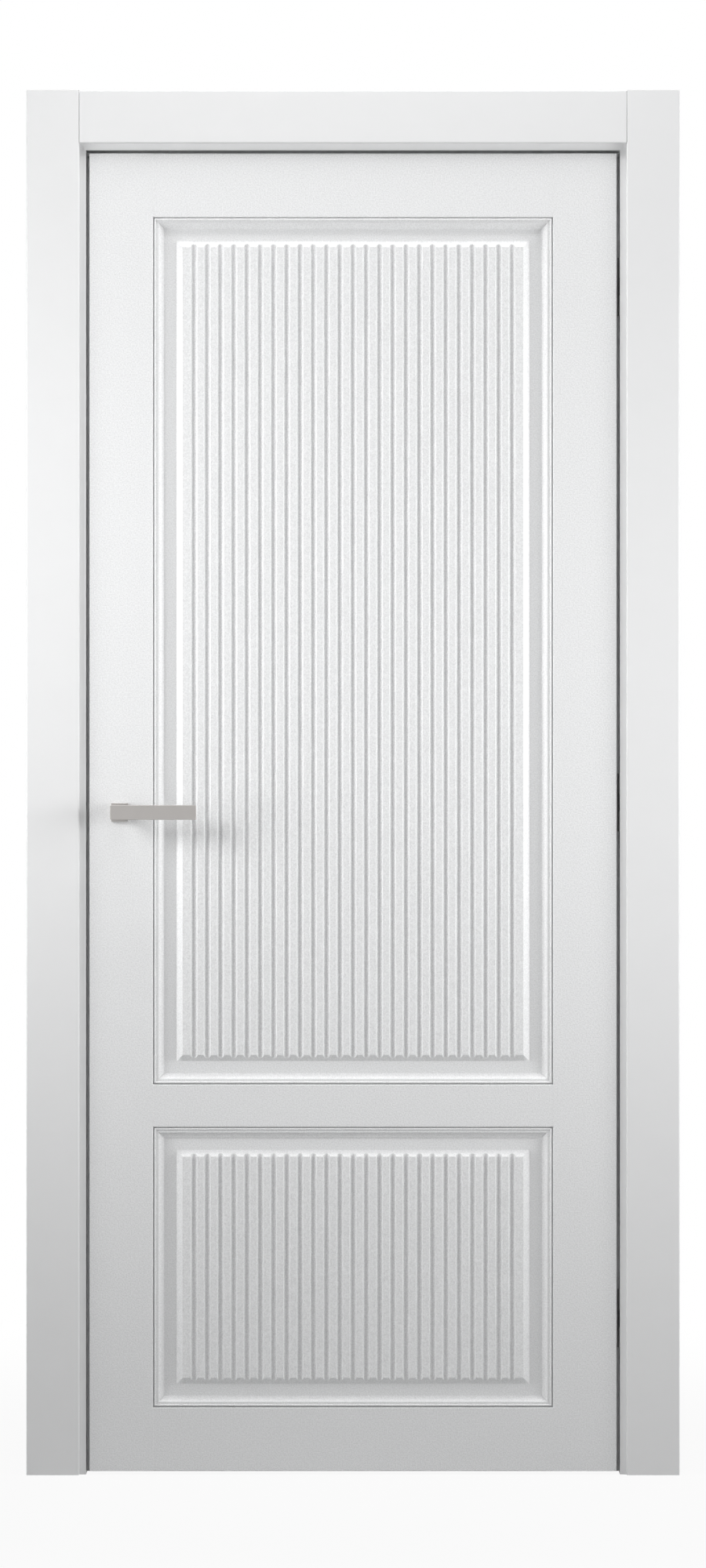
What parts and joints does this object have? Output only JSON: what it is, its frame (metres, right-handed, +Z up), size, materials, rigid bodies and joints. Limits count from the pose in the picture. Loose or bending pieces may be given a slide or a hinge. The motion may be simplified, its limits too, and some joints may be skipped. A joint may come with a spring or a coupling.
{
  "type": "interior door with frame",
  "caption": "Painted interior door in its frame: raised fluted panels above and below a lock rail, flat casings, concealed hinges, magnetic latch and a bar lever handle.",
  "frame": {"origin": "on the hinge jamb's wall-side face, at the floor, midway through the wall's thickness", "axes": "+X out of the hinge jamb into the wall, +Y from the side the leaf opens to towards the closing side, +Z up"},
  "size_m": [0.99, 0.168, 2.1],
  "materials": {
    "frame_paint": "satin white paint",
    "leaf_paint": "satin white paint with a fine orange peel",
    "seal": "matt white rubber",
    "satin_nickel": "satin",
    "hinge_metal": "satin grey",
    "latch_steel": "brushed",
    "bolt_cap": "matt"
  },
  "bodies": {
    "frame": {"jamb_hinge": "frame_paint", "jamb_latch": "frame_paint", "jamb_head": "frame_paint", "seal_hinge": "seal", "seal_latch": "seal", "seal_head": "seal", "casing_front_left": "frame_paint", "casing_front_right": "frame_paint", "casing_front_head": "frame_paint", "casing_back_left": "frame_paint", "casing_back_right": "frame_paint", "casing_back_head": "frame_paint", "strike_plate": "latch_steel", "hinge_cups_frame": "hinge_metal"},
    "leaf": {"stile_latch": "leaf_paint", "stile_hinge": "leaf_paint", "rail_top": "leaf_paint", "rail_lock": "leaf_paint", "rail_bottom": "leaf_paint", "panel_upper": "leaf_paint", "panel_lower": "leaf_paint", "moulding_upper_front": "leaf_paint", "moulding_upper_back": "leaf_paint", "moulding_lower_front": "leaf_paint", "moulding_lower_back": "leaf_paint", "hinge_cups_leaf": "hinge_metal", "latch_case": "latch_steel", "latch_bolt": "bolt_cap", "rose_front": "satin_nickel", "rose_back": "satin_nickel"},
    "lever": {"lever_front": "satin_nickel", "lever_back": "satin_nickel", "spindle": "latch_steel"},
    "frame_arms": {"hinge_arms_frame": "hinge_metal"},
    "leaf_arms": {"hinge_arms_leaf": "hinge_metal"}
  },
  "joints": [
    {"name": "leaf_swing", "type": "hinge", "parent": "frame", "child": "leaf", "pos_m": [-0.0305, -0.055, 0], "axis": [0, 0, 1], "range_deg": [0, 110]},
    {"name": "lever_turn", "type": "hinge", "parent": "leaf", "child": "lever", "pos_m": [-0.787, -0.03, 1.005], "axis": [0, 1, 0], "range_deg": [0, 45], "stiffness_Nm_per_rad": 1, "springref_deg": -28.65},
    {"name": "frame_arm_turn", "type": "hinge", "parent": "frame", "child": "frame_arms", "pos_m": [-0.0235, -0.0385, 0], "axis": [0, 0, 1], "range_deg": [0, 110]},
    {"name": "leaf_arm_turn", "type": "hinge", "parent": "leaf", "child": "leaf_arms", "pos_m": [-0.0375, -0.0385, 0], "axis": [0, 0, 1], "range_deg": [-110, 0]}
  ],
  "couplings": [
    {"joint": "frame_arm_turn", "follows": "leaf_swing", "ratio": 1},
    {"joint": "leaf_arm_turn", "follows": "leaf_swing", "ratio": -1}
  ]
}
